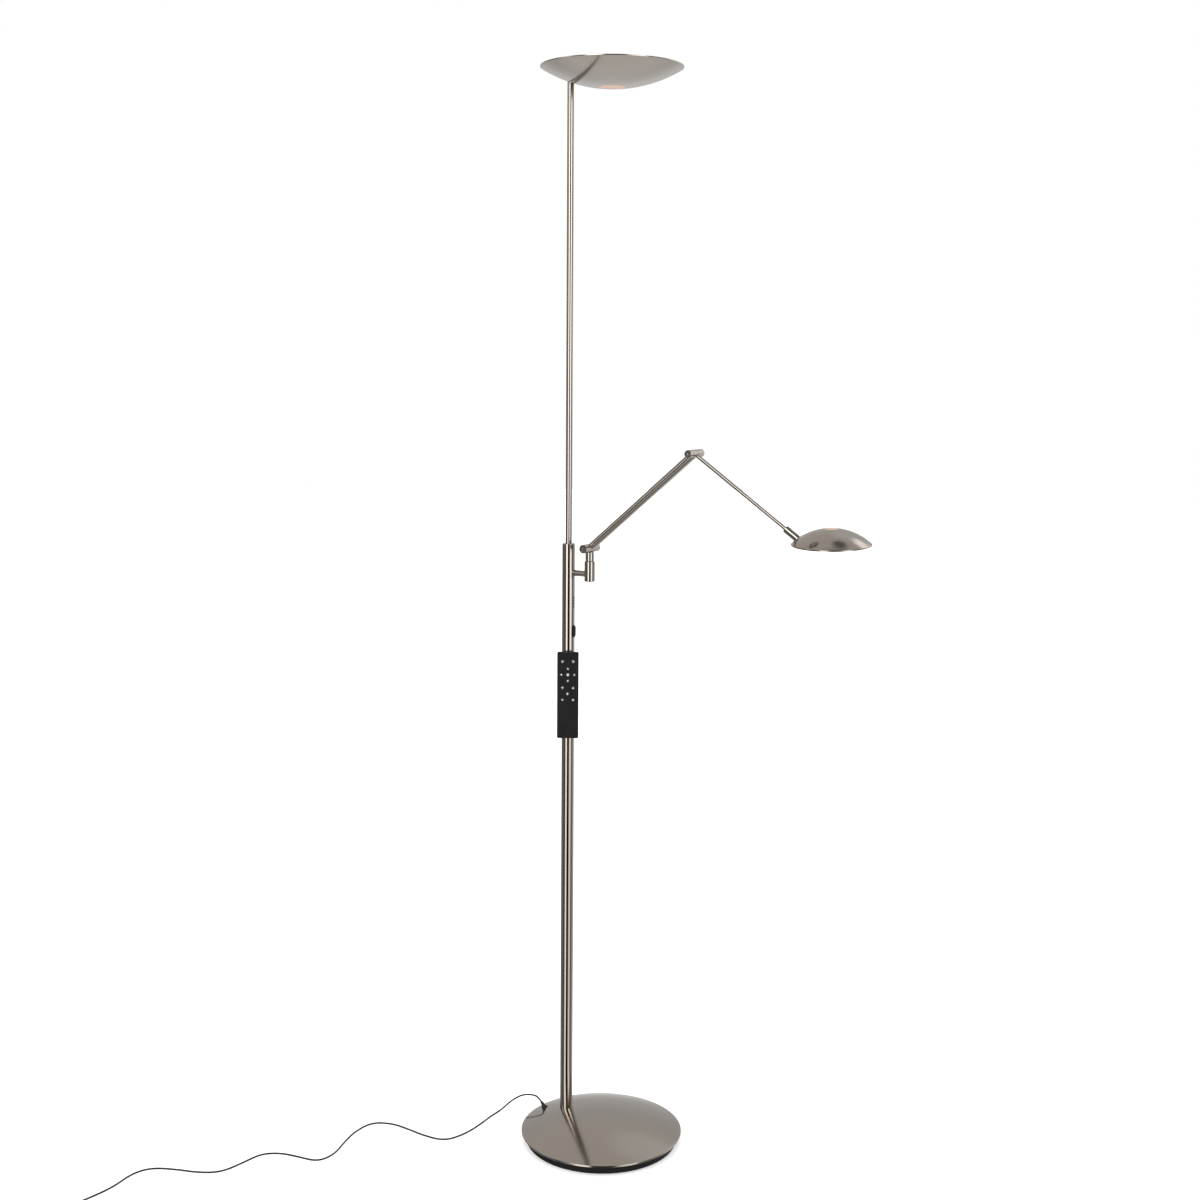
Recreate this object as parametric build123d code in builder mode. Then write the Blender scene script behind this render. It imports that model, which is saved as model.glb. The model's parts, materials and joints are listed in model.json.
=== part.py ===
"""Torchiere floor lamp: a domed base, a stepped pole with a dish uplight, and a folding reading arm.

Millimetres. +Z is up and +X is the way the reading arm reaches. The origin is on the floor, under the
centre of the base. The pole, the dish screw and the whole arm lie in the plane y = 0 at rest.
"""
import os
from math import cos, radians, sin, sqrt, tan

from build123d import *

# ---- driving dimensions -------------------------------------------------------------------------------

# base
BASE_RADIUS = 140
BASE_RIM_Z = 20.5
BASE_DOME = 26
BASE_SHEET = 1.2
BASE_LIP = 3
PAD_THICK = 2
TRAY_RADIUS = 131
TRAY_WALL = 2
WEIGHT_RADIUS = 117
WEIGHT_THICK = 12

# pole
POLE_X = -75
LOWER_RADIUS = 11
UPPER_RADIUS = 5.5
TUBE_WALL = 1
LOWER_TOP = 1047
FIT_GAP = 0.05

# dish
DISH_X = 5
DISH_RADIUS = 115.3
DISH_DEPTH = 31.5
DISH_RIM_Z = 1820
DISH_SHEET = 1.2
DISH_LIP = 1.5
DISH_WINDOW = 21

# reading arm
BRACKET_REACH = 43
BRACKET_Z = 1000
BRACKET_RADIUS = 5.2
SOCKET_RADIUS = 9
SOCKET_BOTTOM = 988
SOCKET_TOP = 1022
JOURNAL_RADIUS = 5
NECK_RADIUS = 7.4
BARREL_LENGTH = 43
LOWER_BARREL_RADIUS = 7.4
LOWER_BARREL_Z = 1044.5
UPPER_BARREL_RADIUS = 6.4
AXLE_RADIUS = 2
ARM_LENGTH = 260
ARM_ANGLE = 39.7
ARM_RADIUS = 6.3
ARM_SHORT = 5
ROD_RADIUS = 3
ROD_BORE = 1.4
ROD_ANGLE = -33.65

# reading head
HEAD_RADIUS = 62
HEAD_DEPTH = 24.5
HEAD_SHEET = 1
HEAD_LIP = 1.8
HEAD_WINDOW = 11
HEAD_FROM_HINGE = Vector(244.5, 0, -128.5)
HEAD_NORMAL = Vector(0.005, -0.056, 1).normalized()
SLEEVE_START = 199
SLEEVE_RADIUS = 6
ROD_END = 221

# remote control, held flat against the pole
REMOTE_SIZE = (36.5, 149, 9)
REMOTE_Z = 791
REMOTE_TURN = -57
REMOTE_SPLIT = 3.6
REMOTE_WALL = 1.2
BUTTON_RADIUS = 3.1
BUTTON_TRAVEL = 0.5
BUTTON_PLACES = {
    "button_power": (-9, 59),
    "button_timer": (9, 59),
    "button_up": (0, 46.5),
    "button_left": (-11, 36),
    "button_centre": (0, 36),
    "button_right": (11, 36),
    "button_down": (0, 25.5),
    "button_dish": (-9, 13.5),
    "button_head": (9, 13.5),
    "button_night": (0, 3),
    "button_cool": (-9, -7.5),
    "button_warm": (9, -7.5),
}

# cord and adapter
CORD_RADIUS = 1.5
RELIEF_X = -122
RELIEF_LEAN = 43
RELIEF_LENGTH = 11
COIL_CENTRE = (-543, -728)
COIL_RADIUS = 16.5
COIL_WIDTH = 10.5
COIL_HEIGHT = 7.5
ADAPTER_CENTRE = (-467, -702)
ADAPTER_TURN = 33
ADAPTER_SIZE = (66, 40, 26)
PIN_RADIUS = 2
PIN_LENGTH = 19
PIN_SPACING = 18.6

# ---- worked-out places --------------------------------------------------------------------------------

SWIVEL_X = POLE_X + BRACKET_REACH
LOWER_HINGE = Vector(SWIVEL_X, 0, LOWER_BARREL_Z)
ARM_DIR = Vector(cos(radians(ARM_ANGLE)), 0, sin(radians(ARM_ANGLE)))
UPPER_HINGE = LOWER_HINGE + ARM_DIR * ARM_LENGTH
ROD_DIR = Vector(cos(radians(ROD_ANGLE)), 0, sin(radians(ROD_ANGLE)))
REMOTE_OUT = Vector(cos(radians(REMOTE_TURN)), sin(radians(REMOTE_TURN)), 0)
REMOTE_ACROSS = Vector(-REMOTE_OUT.Y, REMOTE_OUT.X, 0)

BASE_PLANE = Plane((0, 0, BASE_RIM_Z))
DISH_PLANE = Plane((DISH_X, 0, DISH_RIM_Z), x_dir=(1, 0, 0), z_dir=(0, 0, -1))
HEAD_PLANE = Plane(UPPER_HINGE + HEAD_FROM_HINGE, x_dir=(1, 0, 0), z_dir=HEAD_NORMAL)
LOWER_HINGE_PLANE = Plane(LOWER_HINGE, x_dir=(1, 0, 0), z_dir=(0, -1, 0))
UPPER_HINGE_PLANE = Plane(UPPER_HINGE, x_dir=(1, 0, 0), z_dir=(0, -1, 0))
ARM_PLANE = Plane(LOWER_HINGE, x_dir=(0, 1, 0), z_dir=ARM_DIR)
ROD_PLANE = Plane(UPPER_HINGE, x_dir=(0, 1, 0), z_dir=ROD_DIR)
POLE_FRONT = Plane((POLE_X, 0, 0), x_dir=(0, 1, 0), z_dir=(1, 0, 0))
REMOTE_GAP = 0.2
REMOTE_PLANE = Plane(
    Vector(POLE_X, 0, REMOTE_Z) + REMOTE_OUT * (LOWER_RADIUS + REMOTE_GAP),
    x_dir=REMOTE_ACROSS,
    z_dir=REMOTE_OUT,
)

os.makedirs("parts", exist_ok=True)


def finish(builder, name):
    """Label a finished piece and write it to its own STEP file."""
    builder.part.label = name
    export_step(builder.part, f"parts/{name}.step")


# ---- domes: the cover, the dish and the head are all caps of a sphere ------------------------------------


def ball_radius(rim, depth):
    """Radius of the sphere whose cap has this rim radius and this depth."""
    return (rim**2 + depth**2) / (2 * depth)


def cap_height(ball, rim, depth, r):
    """Height above the rim plane, at radius r, of a sphere that shares the cap's centre."""
    centre = depth - ball_radius(rim, depth)
    return centre + sqrt(ball**2 - r**2)


def side_plane(plane):
    """The plane of a turned profile: x is the radius and y is the height above the rim plane."""
    return Plane(plane.origin, x_dir=plane.x_dir, z_dir=plane.y_dir * -1)


def dome_shell(plane, rim, depth, sheet, lip, window):
    """A spun dome with a turned-down lip round its rim and, if window is not 0, a round hole on top."""
    outer = ball_radius(rim, depth)
    inner = outer - sheet
    lip_inner = rim - sheet

    def outside(r):
        return (r, cap_height(outer, rim, depth, r))

    def inside(r):
        return (r, cap_height(inner, rim, depth, r))

    with BuildPart() as shell:
        with BuildSketch(side_plane(plane)):
            with BuildLine():
                ThreePointArc(outside(window), outside(rim * 0.6), outside(rim))
                Line(outside(rim), (rim, -lip))
                Line((rim, -lip), (lip_inner, -lip))
                Line((lip_inner, -lip), inside(lip_inner))
                ThreePointArc(inside(lip_inner), inside(rim * 0.6), inside(window))
                Line(inside(window), outside(window))
            make_face()
            edge_corners = vertices().sort_by(Axis.X)[-2:]
            fillet(edge_corners, radius=sheet * 0.45)
        revolve(axis=Axis(plane.origin, plane.z_dir))
    return shell


def dome_disc(plane, rim, depth, sheet, radius):
    """The translucent disc that fills a dome's window, as thick as the sheet."""
    outer = ball_radius(rim, depth)
    inner = outer - sheet

    def outside(r):
        return (r, cap_height(outer, rim, depth, r))

    def inside(r):
        return (r, cap_height(inner, rim, depth, r))

    with BuildPart() as disc:
        with BuildSketch(side_plane(plane)):
            with BuildLine():
                ThreePointArc(outside(0), outside(radius / 2), outside(radius))
                Line(outside(radius), inside(radius))
                ThreePointArc(inside(radius), inside(radius / 2), inside(0))
                Line(inside(0), outside(0))
            make_face()
        revolve(axis=Axis(plane.origin, plane.z_dir))
    return disc


def flat_disc(plane, low, high, radius, hole=0):
    """A round plate between two heights above a dome's rim plane."""
    with BuildPart() as disc:
        with BuildSketch(plane.offset(low)):
            Circle(radius)
            if hole:
                Circle(hole, mode=Mode.SUBTRACT)
        extrude(amount=high - low)
        fillet(disc.edges().filter_by(GeomType.CIRCLE).group_by(SortBy.LENGTH)[-1], radius=0.3)
    return disc


BOARD_SHEET = 1.6
LED_SIZE = 3.5
LED_HEIGHT = 0.8


def led_board(plane, top, radius, hole, ring, count, faces):
    """A round board with a ring of LEDs; faces is 1 when they shine along the plane's normal, else -1."""
    with BuildPart() as part:
        with BuildSketch(plane.offset(top)):
            Circle(radius)
            Circle(hole, mode=Mode.SUBTRACT)
        extrude(amount=-BOARD_SHEET * faces)
        with BuildSketch(plane.offset(top)):
            with PolarLocations(ring, count):
                Rectangle(LED_SIZE, LED_SIZE)
        extrude(amount=LED_HEIGHT * faces)
    return part


# ---- base ---------------------------------------------------------------------------------------------

NIPPLE_RADIUS = 5
NIPPLE_HOLE = NIPPLE_RADIUS + 0.3
NUT_POCKET = 13
NUT_POCKET_DEPTH = 8
WEIGHT_Z = PAD_THICK + TRAY_WALL
BASE_BALL = ball_radius(BASE_RADIUS, BASE_DOME)
BASE_BALL_Z = BASE_RIM_Z + BASE_DOME - BASE_BALL
RELIEF_Z = BASE_BALL_Z + sqrt(BASE_BALL**2 - RELIEF_X**2)
RELIEF_HOLE = 4
RELIEF_NORMAL = Vector(RELIEF_X, 0, RELIEF_Z - BASE_BALL_Z).normalized()
RELIEF_SEAT = Plane((RELIEF_X, 0, RELIEF_Z), x_dir=(0, 1, 0), z_dir=RELIEF_NORMAL)
RELIEF_DIR = Vector(-sin(radians(RELIEF_LEAN)), 0, cos(radians(RELIEF_LEAN)))
RELIEF_TIP = Vector(RELIEF_X, 0, RELIEF_Z) + RELIEF_DIR * RELIEF_LENGTH

with BuildPart() as base_cover:
    add(dome_shell(BASE_PLANE, BASE_RADIUS, BASE_DOME, BASE_SHEET, BASE_LIP, 0).part)
    with BuildSketch(Plane.XY):
        with Locations((POLE_X, 0)):
            Circle(NIPPLE_HOLE)
    extrude(amount=BASE_RIM_Z + BASE_DOME, mode=Mode.SUBTRACT)
    with BuildSketch(RELIEF_SEAT):
        Circle(RELIEF_HOLE)
    extrude(amount=BASE_SHEET * 2, both=True, mode=Mode.SUBTRACT)
finish(base_cover, "base_cover")

with BuildPart() as base_pad:
    with BuildSketch():
        Circle(TRAY_RADIUS - 5)
    extrude(amount=PAD_THICK)
finish(base_pad, "base_pad")

TRAY_FLARE = 1
TRAY_TOP = 21.3
with BuildPart() as base_tray:
    with BuildSketch(Plane.XZ):
        with BuildLine():
            Polyline(
                (0, PAD_THICK),
                (TRAY_RADIUS, PAD_THICK),
                (TRAY_RADIUS + TRAY_FLARE, TRAY_TOP),
                (TRAY_RADIUS + TRAY_FLARE - TRAY_WALL, TRAY_TOP),
                (TRAY_RADIUS - TRAY_WALL, WEIGHT_Z),
                (0, WEIGHT_Z),
                close=True,
            )
        make_face()
        fillet(vertices().group_by(Axis.Y)[0].sort_by(Axis.X)[-1], radius=1.5)
    revolve(axis=Axis.Z)
finish(base_tray, "base_tray")

with BuildPart() as base_weight:
    with BuildSketch(Plane.XY.offset(WEIGHT_Z)):
        Circle(WEIGHT_RADIUS)
    extrude(amount=WEIGHT_THICK)
    chamfer(base_weight.edges(), length=1)
    with BuildSketch(Plane.XY.offset(WEIGHT_Z)):
        with Locations((POLE_X, 0)):
            Circle(NIPPLE_HOLE)
    extrude(amount=WEIGHT_THICK, mode=Mode.SUBTRACT)
    with BuildSketch(Plane.XY.offset(WEIGHT_Z)):
        with Locations((POLE_X, 0)):
            Circle(NUT_POCKET)
    extrude(amount=NUT_POCKET_DEPTH, mode=Mode.SUBTRACT)
finish(base_weight, "base_weight")

FOOT_LOW = WEIGHT_Z + 1
FOOT_SHOULDER = 44
FOOT_TOP = 66
FOOT_BORE = 3.5
POLE_BORE = LOWER_RADIUS - TUBE_WALL
with BuildPart() as pole_foot:
    with BuildSketch(Plane.XY.offset(FOOT_LOW)):
        with Locations((POLE_X, 0)):
            Circle(NIPPLE_RADIUS)
    extrude(amount=FOOT_TOP - FOOT_LOW)
    with BuildSketch(Plane.XY.offset(FOOT_SHOULDER)):
        with Locations((POLE_X, 0)):
            Circle(POLE_BORE - FIT_GAP)
    extrude(amount=FOOT_TOP - FOOT_SHOULDER)
    with BuildSketch(Plane.XY.offset(FOOT_LOW)):
        with Locations((POLE_X, 0)):
            Circle(FOOT_BORE)
    extrude(amount=FOOT_TOP - FOOT_LOW, mode=Mode.SUBTRACT)
finish(pole_foot, "pole_foot")

NUT_ACROSS_FLATS = 17
NUT_THICK = 5
NUT_Z = WEIGHT_Z + NUT_POCKET_DEPTH - NUT_THICK
with BuildPart() as foot_nut:
    with BuildSketch(Plane.XY.offset(NUT_Z)):
        with Locations((POLE_X, 0)):
            RegularPolygon(NUT_ACROSS_FLATS / 2, 6, major_radius=False)
            Circle(NIPPLE_RADIUS + FIT_GAP, mode=Mode.SUBTRACT)
    extrude(amount=NUT_THICK)
finish(foot_nut, "foot_nut")

BOARD_X = 25
BOARD_Z = WEIGHT_Z + WEIGHT_THICK
BOARD_LIFT = 4
with BuildPart() as control_board:
    with BuildSketch(Plane.XY.offset(BOARD_Z)):
        with Locations((BOARD_X, 0)):
            with GridLocations(42, 26, 2, 2):
                Circle(2.5)
    extrude(amount=BOARD_LIFT)
    with BuildSketch(Plane.XY.offset(BOARD_Z + BOARD_LIFT)):
        with Locations((BOARD_X, 0)):
            RectangleRounded(52, 36, 2)
    extrude(amount=1.6)
    with BuildSketch(Plane.XY.offset(BOARD_Z + BOARD_LIFT + 1.6)):
        with Locations((BOARD_X - 14, 6), (BOARD_X - 14, -6)):
            Circle(4)
        with Locations((BOARD_X + 8, 0)):
            Rectangle(14, 14)
    extrude(amount=9)
finish(control_board, "control_board")

# ---- pole ---------------------------------------------------------------------------------------------

SWITCH_Z = 899.8
SWITCH_SIZE = (9.6, 20.6)
SWITCH_CLEAR = 0.5
LENS_RADIUS = 1.6
LENS_PITCH = 5.2
LENS_MIDDLE_Z = 949.8

with BuildPart() as lower_pole:
    with BuildSketch(Plane.XY.offset(BASE_RIM_Z)):
        with Locations((POLE_X, 0)):
            Circle(LOWER_RADIUS)
            Circle(POLE_BORE, mode=Mode.SUBTRACT)
    extrude(amount=LOWER_TOP - BASE_RIM_Z)
    with Locations((0, 0, BASE_BALL_Z)):
        Sphere(BASE_BALL, mode=Mode.SUBTRACT)
    with BuildSketch(POLE_FRONT):
        with Locations((0, SWITCH_Z)):
            SlotOverall(SWITCH_SIZE[1] + 2 * SWITCH_CLEAR, SWITCH_SIZE[0] + SWITCH_CLEAR, rotation=90)
        with Locations((0, LENS_MIDDLE_Z)):
            with GridLocations(0, LENS_PITCH, 1, 4):
                Circle(LENS_RADIUS)
    extrude(amount=LOWER_RADIUS + 1, mode=Mode.SUBTRACT)
finish(lower_pole, "lower_pole")

CAP_THICK = 2.5
SPIGOT_LENGTH = 40
with BuildPart() as pole_cap:
    with BuildSketch(Plane.XY.offset(LOWER_TOP)):
        with Locations((POLE_X, 0)):
            Circle(LOWER_RADIUS)
    extrude(amount=CAP_THICK)
    fillet(pole_cap.edges().group_by(Axis.Z)[-1], radius=1.2)
    with BuildSketch(Plane.XY.offset(LOWER_TOP - SPIGOT_LENGTH)):
        with Locations((POLE_X, 0)):
            Circle(POLE_BORE - FIT_GAP)
    extrude(amount=SPIGOT_LENGTH)
    with BuildSketch(Plane.XY.offset(LOWER_TOP - SPIGOT_LENGTH)):
        with Locations((POLE_X, 0)):
            Circle(UPPER_RADIUS + FIT_GAP)
    extrude(amount=SPIGOT_LENGTH + CAP_THICK, mode=Mode.SUBTRACT)
finish(pole_cap, "pole_cap")

DISH_BALL = ball_radius(DISH_RADIUS, DISH_DEPTH)
DISH_BALL_Z = DISH_RIM_Z - DISH_DEPTH + DISH_BALL
UPPER_BOTTOM = LOWER_TOP - SPIGOT_LENGTH + 2
with BuildPart() as upper_pole:
    with BuildSketch(Plane.XY.offset(UPPER_BOTTOM)):
        with Locations((POLE_X, 0)):
            Circle(UPPER_RADIUS)
            Circle(UPPER_RADIUS - TUBE_WALL, mode=Mode.SUBTRACT)
    extrude(amount=DISH_RIM_Z - UPPER_BOTTOM)
    with Locations((DISH_X, 0, DISH_BALL_Z)):
        Sphere(DISH_BALL, mode=Mode.SUBTRACT)
finish(upper_pole, "upper_pole")

SWITCH_BODY_BACK = -5
SWITCH_BODY_FRONT = 7.4
with BuildPart() as switch_body:
    with BuildSketch(POLE_FRONT.offset(SWITCH_BODY_BACK)):
        with Locations((0, SWITCH_Z)):
            RectangleRounded(8, 18, 1)
    extrude(amount=SWITCH_BODY_FRONT - SWITCH_BODY_BACK)
finish(switch_body, "switch_body")

ROCKER_BACK = 8.4
ROCKER_FRONT = 12.9
with BuildPart() as rocker:
    with BuildSketch(POLE_FRONT.offset(ROCKER_BACK)):
        with Locations((0, SWITCH_Z)):
            SlotOverall(SWITCH_SIZE[1], SWITCH_SIZE[0], rotation=90)
    extrude(amount=ROCKER_FRONT - ROCKER_BACK)
    fillet(rocker.faces().sort_by(Axis.X)[-1].edges(), radius=1.4)
finish(rocker, "rocker")

LENS_BACK = 9.2
LENS_FRONT = 11.7
with BuildPart() as indicator_lenses:
    with BuildSketch(POLE_FRONT.offset(LENS_BACK)):
        with Locations((0, LENS_MIDDLE_Z)):
            with GridLocations(0, LENS_PITCH, 1, 4):
                Circle(LENS_RADIUS - FIT_GAP)
    extrude(amount=LENS_FRONT - LENS_BACK)
    fillet(indicator_lenses.edges().group_by(Axis.X)[-1], radius=0.35)
finish(indicator_lenses, "indicator_lenses")

# ---- swivel bracket -----------------------------------------------------------------------------------

SOCKET_FLOOR = SOCKET_BOTTOM + 6
SCREW_RADIUS = 2
SCREW_HEAD_RADIUS = 3.8
SCREW_POCKET = 3
with BuildPart() as arm_bracket:
    with BuildSketch(Plane((POLE_X, 0, BRACKET_Z), x_dir=(0, 1, 0), z_dir=(1, 0, 0))):
        Circle(BRACKET_RADIUS)
    extrude(amount=BRACKET_REACH)
    with BuildSketch(Plane.XY.offset(SOCKET_BOTTOM)):
        with Locations((POLE_X, 0)):
            Circle(LOWER_RADIUS)
    extrude(amount=SOCKET_TOP - SOCKET_BOTTOM, mode=Mode.SUBTRACT)
    with BuildSketch(Plane.XY.offset(SOCKET_BOTTOM)):
        with Locations((SWIVEL_X, 0)):
            Circle(SOCKET_RADIUS)
    extrude(amount=SOCKET_TOP - SOCKET_BOTTOM)
    fillet(arm_bracket.edges().group_by(Axis.Z)[0], radius=1.5)
    fillet(arm_bracket.edges().group_by(Axis.Z)[-1], radius=0.6)
    with BuildSketch(Plane.XY.offset(SOCKET_FLOOR)):
        with Locations((SWIVEL_X, 0)):
            Circle(JOURNAL_RADIUS + FIT_GAP)
    extrude(amount=SOCKET_TOP - SOCKET_FLOOR, mode=Mode.SUBTRACT)
    with BuildSketch(Plane.XY.offset(SOCKET_BOTTOM)):
        with Locations((SWIVEL_X, 0)):
            Circle(SCREW_HEAD_RADIUS + 0.4)
    extrude(amount=SCREW_POCKET, mode=Mode.SUBTRACT)
    with BuildSketch(Plane.XY.offset(SOCKET_BOTTOM)):
        with Locations((SWIVEL_X, 0)):
            Circle(SCREW_RADIUS + FIT_GAP)
    extrude(amount=SOCKET_FLOOR - SOCKET_BOTTOM, mode=Mode.SUBTRACT)
finish(arm_bracket, "arm_bracket")

SCREW_DEPTH = 12
SCREW_LOW = SOCKET_BOTTOM + 0.5
SCREW_SEAT = SOCKET_BOTTOM + SCREW_POCKET
with BuildPart() as swivel_screw:
    with BuildSketch(Plane.XY.offset(SCREW_LOW)):
        with Locations((SWIVEL_X, 0)):
            Circle(SCREW_HEAD_RADIUS)
    extrude(amount=SCREW_SEAT - SCREW_LOW)
    with BuildSketch(Plane.XY.offset(SCREW_LOW)):
        with Locations((SWIVEL_X, 0)):
            Circle(SCREW_RADIUS)
    extrude(amount=SCREW_DEPTH)
    with BuildSketch(Plane.XY.offset(SCREW_LOW)):
        with Locations((SWIVEL_X, 0)):
            RegularPolygon(1.25, 6, major_radius=False)
    extrude(amount=1.5, mode=Mode.SUBTRACT)
finish(swivel_screw, "swivel_screw")

# ---- hinge barrels --------------------------------------------------------------------------------------

HEAD_POCKET_DEPTH = 1.8
BARREL_CHAMFER = 0.7


def hinge_cheeks(plane, radius, slot):
    """The two turned cheeks of a hinge, with a slot between them for the knuckle of the other link."""
    pocket_radius = radius - 2.2
    with BuildPart() as barrel:
        with BuildSketch(plane):
            Circle(radius)
        extrude(amount=BARREL_LENGTH / 2, both=True)
        chamfer(barrel.edges().filter_by(GeomType.CIRCLE), length=BARREL_CHAMFER)
        with BuildSketch(plane):
            Circle(radius + 1)
        extrude(amount=slot / 2, both=True, mode=Mode.SUBTRACT)
        with BuildSketch(plane):
            Circle(AXLE_RADIUS)
        extrude(amount=BARREL_LENGTH / 2, both=True, mode=Mode.SUBTRACT)
        for side in (1, -1):
            with BuildSketch(plane.offset(side * BARREL_LENGTH / 2)):
                Circle(pocket_radius)
            extrude(amount=-side * HEAD_POCKET_DEPTH, mode=Mode.SUBTRACT)
    return barrel


def barrel_axle(plane, radius):
    """The screw that the hinge turns on, and its round nut: one at each end of the barrel."""
    head_radius = radius - 2.2 - FIT_GAP
    seat = BARREL_LENGTH / 2 - HEAD_POCKET_DEPTH
    head = HEAD_POCKET_DEPTH - 0.5
    with BuildPart() as axle:
        with BuildSketch(plane.offset(-seat)):
            Circle(AXLE_RADIUS)
        extrude(amount=2 * seat)
        with BuildSketch(plane.offset(seat)):
            Circle(head_radius)
        extrude(amount=head)
        with BuildSketch(plane.offset(seat + head)):
            RegularPolygon(1.5, 6, major_radius=False)
        extrude(amount=-1, mode=Mode.SUBTRACT)
        with BuildSketch(plane.offset(-seat)):
            Circle(head_radius)
        extrude(amount=-head)
        with BuildSketch(plane.offset(-seat - head)):
            Rectangle(4.5, 0.9)
        extrude(amount=0.8, mode=Mode.SUBTRACT)
    return axle


# ---- swivel stem and thick arm --------------------------------------------------------------------------

LOWER_SLOT = 6.4
LOWER_KNUCKLE = LOWER_BARREL_RADIUS - 0.3
TONGUE_WIDTH = 6
SIDE_PLAY = 0.2
NECK_LOW = SOCKET_TOP + 0.4
NECK_HIGH = 1037.3
BARREL_CLEAR = 0.3

with BuildPart() as swivel_stem:
    with BuildSketch(Plane.XY.offset(SOCKET_FLOOR + 0.2)):
        with Locations((SWIVEL_X, 0)):
            Circle(JOURNAL_RADIUS)
    extrude(amount=NECK_LOW - SOCKET_FLOOR - 0.2)
    with BuildSketch(Plane.XY.offset(NECK_LOW)):
        with Locations((SWIVEL_X, 0)):
            Circle(NECK_RADIUS)
    extrude(amount=NECK_HIGH - NECK_LOW)
    neck_foot = swivel_stem.edges().filter_by(GeomType.CIRCLE)
    neck_foot = neck_foot.filter_by_position(Axis.Z, NECK_LOW - 0.01, NECK_LOW + 0.01)
    chamfer(neck_foot.sort_by(SortBy.LENGTH)[-1], length=0.8)
    with BuildSketch(LOWER_HINGE_PLANE):
        Circle(LOWER_BARREL_RADIUS + BARREL_CLEAR)
    extrude(amount=BARREL_LENGTH / 2, both=True, mode=Mode.SUBTRACT)
    with BuildSketch(LOWER_HINGE_PLANE):
        Circle(LOWER_KNUCKLE)
        with Locations((0, -LOWER_BARREL_RADIUS / 2 - 1)):
            Rectangle(TONGUE_WIDTH, LOWER_BARREL_RADIUS + 2)
    extrude(amount=LOWER_SLOT / 2 - SIDE_PLAY, both=True)
    with BuildSketch(LOWER_HINGE_PLANE):
        Circle(AXLE_RADIUS + FIT_GAP)
    extrude(amount=BARREL_LENGTH / 2, both=True, mode=Mode.SUBTRACT)
    with BuildSketch(Plane.XY.offset(SOCKET_FLOOR)):
        with Locations((SWIVEL_X, 0)):
            Circle(SCREW_RADIUS)
    extrude(amount=SCREW_LOW + SCREW_DEPTH - SOCKET_FLOOR, mode=Mode.SUBTRACT)
finish(swivel_stem, "swivel_stem")

lower_barrel = hinge_cheeks(LOWER_HINGE_PLANE, LOWER_BARREL_RADIUS, LOWER_SLOT)
finish(lower_barrel, "lower_barrel")
lower_axle = barrel_axle(LOWER_HINGE_PLANE, LOWER_BARREL_RADIUS)
finish(lower_axle, "lower_axle")

with BuildPart() as arm_tube:
    with BuildSketch(ARM_PLANE):
        Circle(ARM_RADIUS)
        Circle(ARM_RADIUS - TUBE_WALL, mode=Mode.SUBTRACT)
    extrude(amount=ARM_LENGTH - ARM_SHORT)
    with BuildSketch(LOWER_HINGE_PLANE):
        Circle(LOWER_BARREL_RADIUS)
    extrude(amount=BARREL_LENGTH / 2, both=True, mode=Mode.SUBTRACT)
    with BuildSketch(UPPER_HINGE_PLANE):
        Circle(UPPER_BARREL_RADIUS)
    extrude(amount=BARREL_LENGTH / 2, both=True, mode=Mode.SUBTRACT)
finish(arm_tube, "arm_tube")

# ---- upper hinge and thin arm ---------------------------------------------------------------------------

UPPER_SLOT = 6.6
UPPER_KNUCKLE = UPPER_BARREL_RADIUS - 0.3

upper_barrel = hinge_cheeks(UPPER_HINGE_PLANE, UPPER_BARREL_RADIUS, UPPER_SLOT)
finish(upper_barrel, "upper_barrel")
upper_axle = barrel_axle(UPPER_HINGE_PLANE, UPPER_BARREL_RADIUS)
finish(upper_axle, "upper_axle")

with BuildPart() as arm_rod:
    with BuildSketch(ROD_PLANE):
        Circle(ROD_RADIUS)
    extrude(amount=ROD_END)
    with BuildSketch(UPPER_HINGE_PLANE):
        Circle(UPPER_KNUCKLE)
    extrude(amount=UPPER_SLOT / 2 - SIDE_PLAY, both=True)
    with BuildSketch(ROD_PLANE.offset(UPPER_BARREL_RADIUS)):
        Circle(ROD_BORE)
    extrude(amount=ROD_END - UPPER_BARREL_RADIUS, mode=Mode.SUBTRACT)
    with BuildSketch(UPPER_HINGE_PLANE):
        Circle(AXLE_RADIUS + FIT_GAP)
    extrude(amount=BARREL_LENGTH / 2, both=True, mode=Mode.SUBTRACT)
finish(arm_rod, "arm_rod")

# ---- reading head ---------------------------------------------------------------------------------------

HEAD_BALL = ball_radius(HEAD_RADIUS, HEAD_DEPTH)
HEAD_BALL_CENTRE = HEAD_PLANE.from_local_coords(Vector(0, 0, HEAD_DEPTH - HEAD_BALL))
GRUB_FROM_HINGE = SLEEVE_START + 6
GRUB_RADIUS = 1.5
WINDOW_GAP = 0.15

head_shell = dome_shell(HEAD_PLANE, HEAD_RADIUS, HEAD_DEPTH, HEAD_SHEET, HEAD_LIP, HEAD_WINDOW + WINDOW_GAP)
finish(head_shell, "head_shell")
head_glow_disc = dome_disc(HEAD_PLANE, HEAD_RADIUS, HEAD_DEPTH, HEAD_SHEET, HEAD_WINDOW)
finish(head_glow_disc, "head_glow_disc")

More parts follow.
